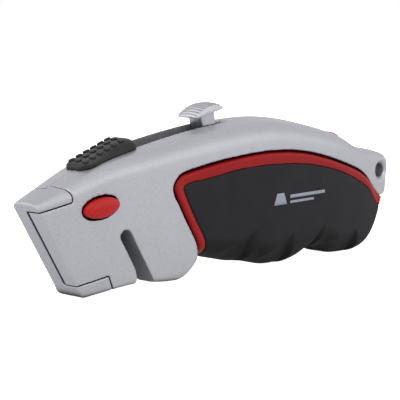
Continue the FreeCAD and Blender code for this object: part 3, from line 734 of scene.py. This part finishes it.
def stud(bm, foot, along, across):
    """Low round stud with a domed top, square to the pad's face."""
    up = along.cross(across).normalized()
    around = 24
    rings = []
    for radius, height in STUD:
        row = []
        for i in range(around):
            a = 2.0 * math.pi * i / around
            p = foot + up * height + along * radius * math.cos(a) + across * radius * math.sin(a)
            row.append(bm.verts.new(p * MM))
        rings.append(row)
    crown = bm.verts.new((foot + up * (STUD[-1][1] + 0.01)) * MM)
    for low, high in zip(rings, rings[1:]):
        for i in range(around):
            j = (i + 1) % around
            bm.faces.new((low[i], low[j], high[j], high[i]))
    for i in range(around):
        bm.faces.new((rings[-1][i], rings[-1][(i + 1) % around], crown))
    bm.faces.new(tuple(reversed(rings[0])))


# ------------------------------------------------------------- small fittings

MOULDED = [("cutter_guide_left", 0.18), ("cutter_guide_right", 0.18), ("magazine_latch", 0.14)]
LATCH_RISE = 0.55                 # the latch's top is raised this far, so that it shows, mm
RACK_PITCH = 2.0 * math.cos(TILT)
RACK_LOW = 42.0                   # only faces over this height are toothed, row z in mm
RACK_RISE = 0.12                  # how far the strip is raised, and its teeth over it, mm
RACK_TOOTH = 0.22


def make_small_skins():
    for node_name, voxel in MOULDED:
        piece = rounded_skin(node_name, node_name + "_moulded", voxel, 4)
        if node_name == "magazine_latch":
            push(piece, lambda p, n: Vector((0.0, 0.0, LATCH_RISE * ease(n.z))))
        stand_for(piece, node_name)


def make_rack():
    """Toothed strip along the far wall of the spine slot, standing just over the spine."""
    piece = rounded_skin("detent_rack", "detent_rack_teeth", 0.16, 2)

    def offset(p, n):
        if n.z < 0.3 or p.z < RACK_LOW:
            return Vector((0.0, 0.0, 0.0))
        tooth = abs(math.sin(math.pi * p.x / RACK_PITCH)) ** 0.5
        return Vector((0.0, 0.0, RACK_RISE + RACK_TOOTH * tooth))

    push(piece, offset)
    stand_for(piece, "detent_rack")


# Coil springs that a press shortens: joint, coil and wire radius, height between the end
# coils, all in mm, turns between them, and the share of the length left when pressed.
SPRINGS = {
    "button_spring": ("nose_button_press", 2.0, 0.24, 1.58, 2, 0.26),
    "slider_spring": ("slider_press", 1.1, 0.22, 2.0, 3, 0.66),
    "latch_spring": ("latch_press", 1.6, 0.22, 2.25, 3, 0.52),
}
COIL_STEPS = 28                   # sections in one turn
WIRE_SIDES = 10


def coil_mesh(name, centre, axis, coil, wire, height, turns):
    """Round wire wound about an axis, with half a flat turn at each end."""
    across = Vector((0.0, 1.0, 0.0)) if abs(axis.y) < 0.5 else Vector((1.0, 0.0, 0.0))
    third = axis.cross(across).normalized()
    count = (turns + 1) * COIL_STEPS
    line = []
    for i in range(count + 1):
        angle = 2.0 * math.pi * i / COIL_STEPS
        rise = max(0.0, min(1.0, (i / COIL_STEPS - 0.5) / turns)) - 0.5
        line.append(centre + (across * math.cos(angle) + third * math.sin(angle)) * coil
                    + axis * (rise * height))
    verts = []
    faces = []
    for i, point in enumerate(line):
        ahead = (line[min(i + 1, count)] - line[max(i - 1, 0)]).normalized()
        out = (point - centre - axis * (point - centre).dot(axis)).normalized()
        side = ahead.cross(out).normalized()
        for k in range(WIRE_SIDES):
            a = 2.0 * math.pi * k / WIRE_SIDES
            verts.append((point + (out * math.cos(a) + side * math.sin(a)) * wire) * MM)
    for i in range(count):
        for k in range(WIRE_SIDES):
            m = (k + 1) % WIRE_SIDES
            a = i * WIRE_SIDES
            b = a + WIRE_SIDES
            faces.append((a + k, a + m, b + m, b + k))
    faces.append(tuple(reversed(range(WIRE_SIDES))))
    faces.append(tuple(count * WIRE_SIDES + k for k in range(WIRE_SIDES)))
    mesh = mesh_from(name, verts, faces)
    face_outwards(mesh)
    shade_smooth(mesh)
    return mesh


def make_springs():
    axes = {row["name"]: Vector(row["axis"]) for row in frame["record"]["behaviour"]["joints"]}
    for node_name, (joint, coil, wire, height, turns, keep) in SPRINGS.items():
        lo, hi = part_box(node_name)
        centre = (Vector(lo) + Vector(hi)) / 2.0 / MM
        axis = axes[joint].normalized()
        name = node_name + "_coil"
        piece = add_object(name, coil_mesh(name, centre, axis, coil, wire, height, turns))
        stand_for(piece, node_name)
        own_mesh(piece)


# Printed blade and bars on each grip: x0, x1, z0, z1 and the slant of the ends, row mm.
PRINT = [
    (14.5, 18.0, 21.4, 25.2, 1.5),
    (21.2, 40.2, 23.2, 24.3, 0.0),
    (21.2, 34.0, 21.5, 22.3, 0.0),
]
PRINT_STEP = 0.6                  # mesh size along a mark, mm
PRINT_ROWS = 4                    # and faces across it
PRINT_LIFT = 0.03                 # height of the ink's middle over the grip, mm
PRINT_THICK = 0.08
PRINT_FROM = 40.0                 # where the rays to the grip start, row y in mm


def make_print():
    """Marks laid on each grip's face, found by rays from the side."""
    graph = bpy.context.evaluated_depsgraph_get()
    for side, sign in (("left", -1.0), ("right", 1.0)):
        grip = bpy.data.objects["grip_" + side + "_soft"]
        tree = BVHTree.FromObject(grip, graph)
        verts = []
        faces = []
        for x0, x1, z0, z1, slant in PRINT:
            along = max(2, round((x1 - x0) / PRINT_STEP))
            rows = []
            for i in range(along + 1):
                row = []
                for j in range(PRINT_ROWS + 1):
                    v = j / PRINT_ROWS
                    end = 1.0 if i == 0 else -1.0 if i == along else 0.0
                    cut = slant * (1.0 - v) * end
                    x = x0 + (x1 - x0) * i / along - cut
                    z = z0 + (z1 - z0) * v
                    start = Vector((x, sign * PRINT_FROM, z)) * MM
                    hit = tree.ray_cast(start, Vector((0.0, -sign, 0.0)))[0]
                    row.append(len(verts))
                    verts.append(hit + Vector((0.0, sign * PRINT_LIFT * MM, 0.0)))
                rows.append(row)
            for a, b in zip(rows, rows[1:]):
                for j in range(PRINT_ROWS):
                    faces.append((a[j], b[j], b[j + 1], a[j + 1]))
        mesh = mesh_from("grip_print_" + side, verts, faces)
        piece = add_object("grip_print_" + side, mesh)
        solid = piece.modifiers.new("solid", "SOLIDIFY")
        solid.thickness = PRINT_THICK * MM
        solid.offset = 0.0
        shade_smooth(baked(piece))
        piece.data.materials.clear()
        piece.data.materials.append(MATERIALS["print"])
        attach(piece, body_of_node("grip_" + side))


make_silver()
make_grips()
make_bezels()
make_button()
make_slider()
make_pad()
make_small_skins()
make_rack()
make_springs()
make_print()


# ------------------------------------------------------ stage, light, camera

FLOOR_HALF = 3.0                  # metres
FLOOR_GLOW = 0.12                 # light from the floor on the knife; the camera sees white
ROOM_GLOW = 0.74


def make_floor():
    mesh = bpy.data.meshes.new("floor")
    bm = bmesh.new()
    bmesh.ops.create_grid(bm, x_segments=2, y_segments=2, size=FLOOR_HALF)
    bm.to_mesh(mesh)
    bm.free()
    floor = add_object("floor", mesh)
    mat, bsdf = new_material("floor_paper")
    grain = noise_node(mat, object_coords(mat), 0.4)
    link(mat, ramp_node(mat, grain, [(0.3, (0.65, 0.65, 0.66)), (0.7, (0.67, 0.67, 0.68))]),
         bsdf.inputs["Base Color"])
    bsdf.inputs["Roughness"].default_value = 0.9
    bsdf.inputs["Specular IOR Level"].default_value = 0.0
    bsdf.inputs["Emission Color"].default_value = (1.0, 1.0, 1.0, 1.0)
    path = mat.node_tree.nodes.new("ShaderNodeLightPath")
    link(mat, range_node(mat, path.outputs["Is Camera Ray"], 0.0, 1.0, FLOOR_GLOW, 1.0),
         bsdf.inputs["Emission Strength"])
    mesh.materials.append(mat)


def area_light(name, location, target, size, power):
    data = bpy.data.lights.new(name, "AREA")
    data.shape = "RECTANGLE"
    data.size, data.size_y = size
    data.energy = power
    light = bpy.data.objects.new(name, data)
    bpy.context.scene.collection.objects.link(light)
    light.location = location
    light.visible_camera = False
    direction = Vector(target) - Vector(location)
    light.rotation_mode = "QUATERNION"
    light.rotation_quaternion = direction.to_track_quat("-Z", "Y")


def sun_light(name, towards, strength, spread):
    """Broad even light from one direction, like a large softbox far away."""
    data = bpy.data.lights.new(name, "SUN")
    data.energy = strength
    data.angle = math.radians(spread)
    light = bpy.data.objects.new(name, data)
    bpy.context.scene.collection.objects.link(light)
    light.rotation_mode = "QUATERNION"
    light.rotation_quaternion = Vector(towards).to_track_quat("Z", "Y")


def make_world():
    """White to the camera, and a little dimmer where it lights the knife."""
    world = bpy.data.worlds.new("studio")
    bpy.context.scene.world = world
    world.use_nodes = True
    nodes = world.node_tree.nodes
    nodes.clear()
    links = world.node_tree.links
    out = nodes.new("ShaderNodeOutputWorld")
    mix = nodes.new("ShaderNodeMixShader")
    path = nodes.new("ShaderNodeLightPath")
    room = nodes.new("ShaderNodeBackground")
    seen = nodes.new("ShaderNodeBackground")
    room.inputs["Color"].default_value = (0.98, 0.98, 1.0, 1.0)
    room.inputs["Strength"].default_value = ROOM_GLOW
    seen.inputs["Color"].default_value = (1.0, 1.0, 1.0, 1.0)
    seen.inputs["Strength"].default_value = 1.0
    links.new(path.outputs["Is Camera Ray"], mix.inputs["Fac"])
    links.new(room.outputs[0], mix.inputs[1])
    links.new(seen.outputs[0], mix.inputs[2])
    links.new(mix.outputs[0], out.inputs["Surface"])


# The camera, fitted to the knife's outline: it looks at a point near the knife's middle.
CAMERA_AZIMUTH = math.radians(-46.2876)
CAMERA_ELEVATION = math.radians(7.5122)
CAMERA_DISTANCE = 509.539         # mm
CAMERA_TARGET = (-8.829, 0.0, 24.236)
SENSOR = 36.0                     # mm
FOCAL_RATIO = 3.94135             # focal length over the sensor's width


def make_camera():
    level = math.cos(CAMERA_ELEVATION)
    back = Vector((math.sin(CAMERA_AZIMUTH) * level, -math.cos(CAMERA_AZIMUTH) * level,
                   math.sin(CAMERA_ELEVATION)))
    data = bpy.data.cameras.new("camera")
    data.sensor_width = SENSOR
    data.lens = SENSOR * FOCAL_RATIO
    data.clip_start = 0.01
    data.clip_end = 20.0
    camera = bpy.data.objects.new("camera", data)
    bpy.context.scene.collection.objects.link(camera)
    camera.location = (Vector(CAMERA_TARGET) + back * CAMERA_DISTANCE) * MM
    camera.rotation_mode = "QUATERNION"
    camera.rotation_quaternion = (-back).to_track_quat("-Z", "Y")
    bpy.context.scene.camera = camera


make_floor()
make_world()
sun_light("softbox", (-0.66, -0.62, 0.85), 0.98, 60.0)
sun_light("side_fill", (0.50, -0.86, 0.10), 0.70, 70.0)
sun_light("nose_fill", (-0.72, 0.60, 0.35), 0.7, 60.0)
area_light("back_softbox", (0.75, 0.85, 0.55), (0.0, 0.0, 0.03), (1.5, 0.9), 0.4)
bpy.context.scene.view_settings.view_transform = "Standard"
make_camera()
